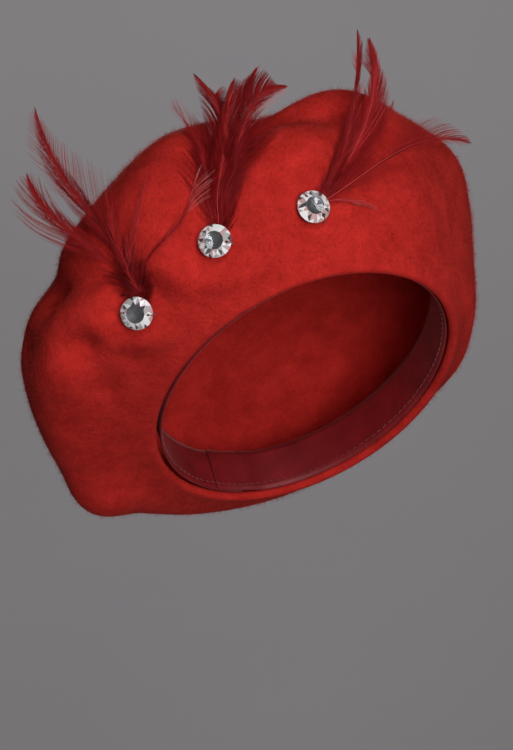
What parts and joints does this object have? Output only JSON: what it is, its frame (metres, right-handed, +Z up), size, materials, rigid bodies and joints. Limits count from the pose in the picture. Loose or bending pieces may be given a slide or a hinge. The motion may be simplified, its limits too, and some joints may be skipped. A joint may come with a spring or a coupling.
{
  "type": "beret",
  "caption": "Soft felt beret with a ribbon sweatband, round sewn-on crystals drawn into tufted dimples, and a fan of dyed feathers under each crystal.",
  "frame": {"origin": "middle of the head opening, in the plane of the felt's edge", "axes": "worn pose: +Z up, -Y the way the wearer faces, +X to the wearer's left; the crown points up, back and to the wearer's right"},
  "size_m": [0.2288, 0.2216, 0.2414],
  "materials": {
    "felt": "brushed wool felt, matt with short fuzz",
    "patch": "thin wool felt, matt",
    "ribbon": "ribbed grosgrain, low sheen",
    "thread": "twisted polyester thread",
    "crystal": "clear cut glass, polished facets",
    "foil": "silver foil backing",
    "feather": "dyed hackle feather, fine barbs",
    "collar": "wound thread"
  },
  "bodies": {
    "root": {"felt_body": "felt", "sweatband_ribbon": "ribbon", "sweatband_seam": "thread", "crystal_1": "crystal", "crystal_foil_1": "foil", "backing_patch_1": "patch", "stitch_thread_1": "thread", "feather_collar_1": "collar", "feather_1_a": "feather", "feather_1_b": "feather", "feather_1_c": "feather", "feather_1_d": "feather", "feather_1_e": "feather", "crystal_2": "crystal", "crystal_foil_2": "foil", "backing_patch_2": "patch", "stitch_thread_2": "thread", "feather_collar_2": "collar", "feather_2_a": "feather", "feather_2_b": "feather", "feather_2_c": "feather", "feather_2_d": "feather", "feather_2_e": "feather", "crystal_3": "crystal", "crystal_foil_3": "foil", "backing_patch_3": "patch", "stitch_thread_3": "thread", "feather_collar_3": "collar", "feather_3_a": "feather", "feather_3_b": "feather", "feather_3_c": "feather", "feather_3_d": "feather", "feather_3_e": "feather"}
  },
  "joints": []
}
